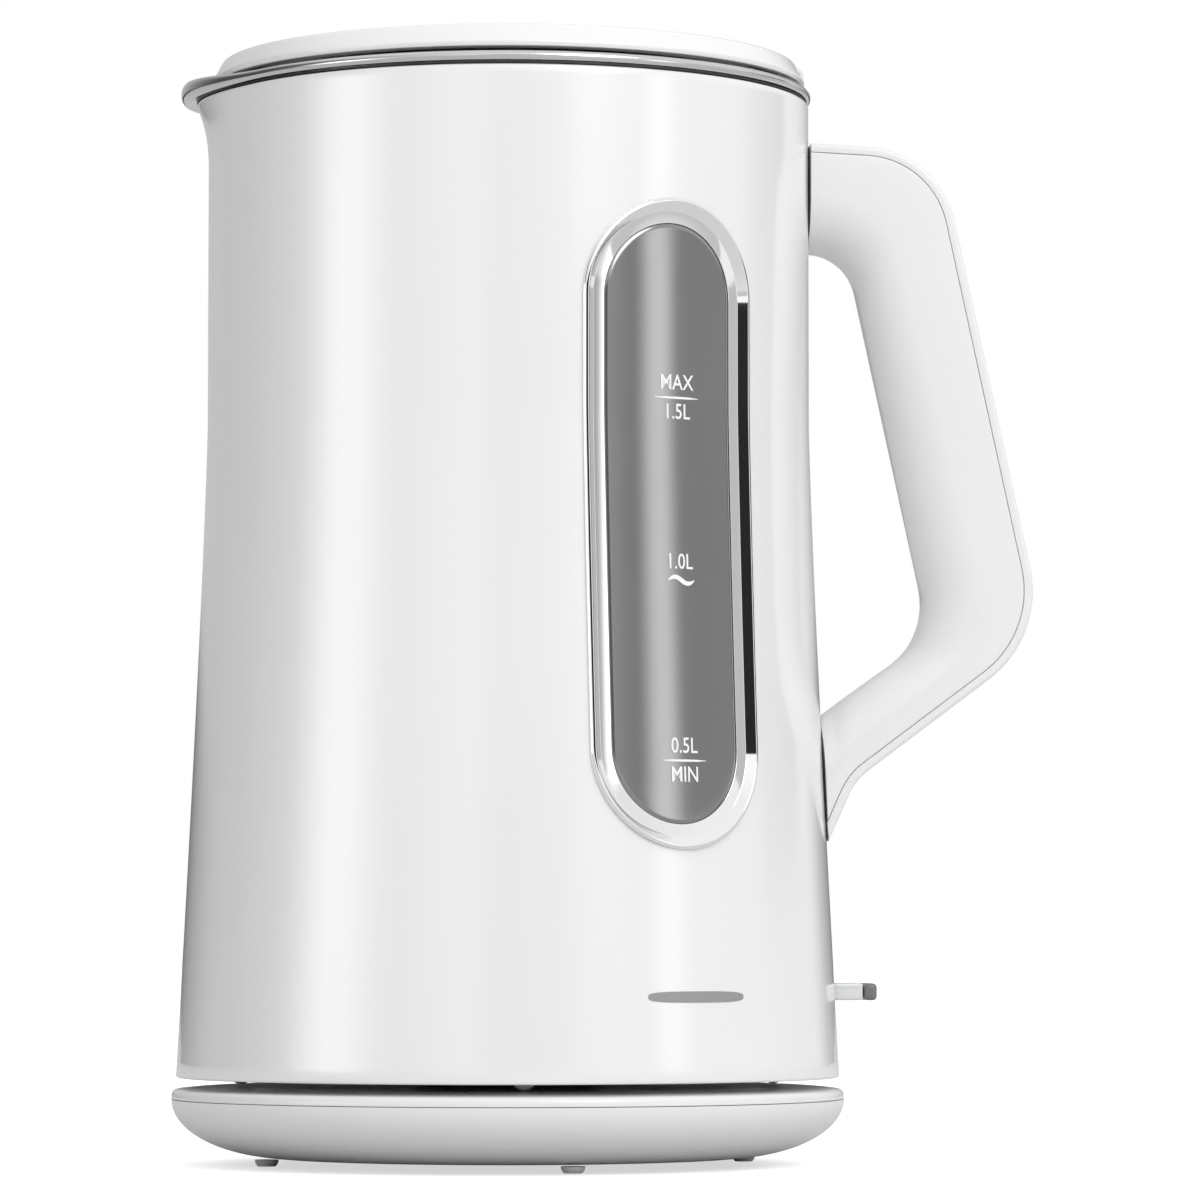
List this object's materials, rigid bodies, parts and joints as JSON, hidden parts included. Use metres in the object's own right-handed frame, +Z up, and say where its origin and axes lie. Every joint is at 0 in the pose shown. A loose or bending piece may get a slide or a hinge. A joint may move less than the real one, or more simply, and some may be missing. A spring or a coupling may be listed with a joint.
{
  "type": "electric kettle",
  "caption": "Electric kettle: white double-walled jug with a tall level window, angular handle and hinged lid, that lifts off a round power base.",
  "frame": {"origin": "centre of the bounding box in plan, on the plane under the base's feet", "axes": "+Z up, +X from the spout towards the handle, +Y to the side away from the level window"},
  "size_m": [0.1919, 0.15, 0.247],
  "materials": {
    "base_white": "satin moulded",
    "shell_white": "high gloss",
    "handle_white": "satin moulded",
    "pot_steel": "fine satin",
    "bezel_chrome": "polished",
    "smoke_lens": "clear, smoke tint",
    "clear_plastic": "clear",
    "cap_grey": "satin",
    "dark_seal": "matte",
    "silicone": "translucent",
    "foot_rubber": "matte",
    "black_plastic": "moulded",
    "contact_brass": "bright",
    "heater_aluminium": "rolled",
    "screw_steel": "plated"
  },
  "bodies": {
    "base": {"base_bottom_cover": "base_white", "base_top_cover": "base_white", "base_screw_1": "screw_steel", "base_screw_2": "screw_steel", "base_screw_3": "screw_steel", "base_foot_1": "foot_rubber", "base_foot_2": "foot_rubber", "base_foot_3": "foot_rubber", "base_foot_4": "foot_rubber", "cord_inlet_bush": "black_plastic", "mains_terminal_block": "black_plastic", "base_socket": "black_plastic", "socket_outer_contact": "contact_brass", "socket_inner_contact": "contact_brass", "socket_centre_contact": "contact_brass"},
    "swivel": {"socket_collar": "black_plastic"},
    "jug": {"jug_shell": "shell_white", "rim_gasket": "dark_seal", "inner_pot": "pot_steel", "window_bezel": "bezel_chrome", "window_lens": "smoke_lens", "window_seal": "silicone", "handle_grip": "handle_white", "handle_back_cover": "handle_white", "handle_screw_upper": "screw_steel", "handle_screw_lower": "screw_steel", "jug_bottom_cover": "shell_white", "jug_screw_1": "screw_steel", "jug_screw_2": "screw_steel", "jug_screw_3": "screw_steel", "heater_plate": "heater_aluminium", "heating_element": "screw_steel", "bimetal_disc": "contact_brass", "thermostat_control": "black_plastic", "connector_outer_ring": "contact_brass", "connector_inner_ring": "contact_brass", "connector_pin": "contact_brass", "steam_tube": "clear_plastic", "spout_filter": "silicone", "hinge_post": "shell_white", "hinge_pin": "screw_steel", "hinge_spring": "screw_steel", "switch_bearing": "black_plastic"},
    "lid": {"lid_cover": "shell_white", "lid_plate": "pot_steel", "lid_seal": "silicone", "button_spring": "screw_steel"},
    "button": {"lid_button": "handle_white"},
    "latch": {"lid_latch": "handle_white"},
    "lever": {"lever_stem": "clear_plastic", "lever_cap": "cap_grey"},
    "rocker": {"trip_rocker": "handle_white"}
  },
  "joints": [
    {"name": "jug_turn", "type": "hinge", "parent": "base", "child": "swivel", "pos_m": [-0.02095, 0, 0.0175], "axis": [0, 0, 1], "continuous": true},
    {"name": "jug_lift", "type": "slide", "parent": "swivel", "child": "jug", "axis": [0, 0, 1], "range_m": [0, 0.09]},
    {"name": "lid_hinge", "type": "hinge", "parent": "jug", "child": "lid", "pos_m": [0.04295, 0, 0.2436], "axis": [0, 1, 0], "range_deg": [0, 80]},
    {"name": "button_press", "type": "slide", "parent": "lid", "child": "button", "axis": [0, 0, -1], "range_m": [0, 0.0025], "stiffness_N_per_m": 400, "springref_m": -0.001, "deforming": ["button_spring"]},
    {"name": "latch_slide", "type": "slide", "parent": "lid", "child": "latch", "axis": [1, 0, 0], "range_m": [0, 0.0025]},
    {"name": "switch_lever", "type": "hinge", "parent": "jug", "child": "lever", "pos_m": [0.04105, 0, 0.0383], "axis": [0, 1, 0], "range_deg": [0, 12]},
    {"name": "rocker_trip", "type": "hinge", "parent": "jug", "child": "rocker", "pos_m": [0.01705, 0, 0.0414], "axis": [0, 1, 0], "range_deg": [-15, 0]}
  ],
  "couplings": [
    {"joint": "latch_slide", "follows": "button_press", "ratio": 1},
    {"joint": "rocker_trip", "follows": "switch_lever", "ratio": -1.2}
  ]
}
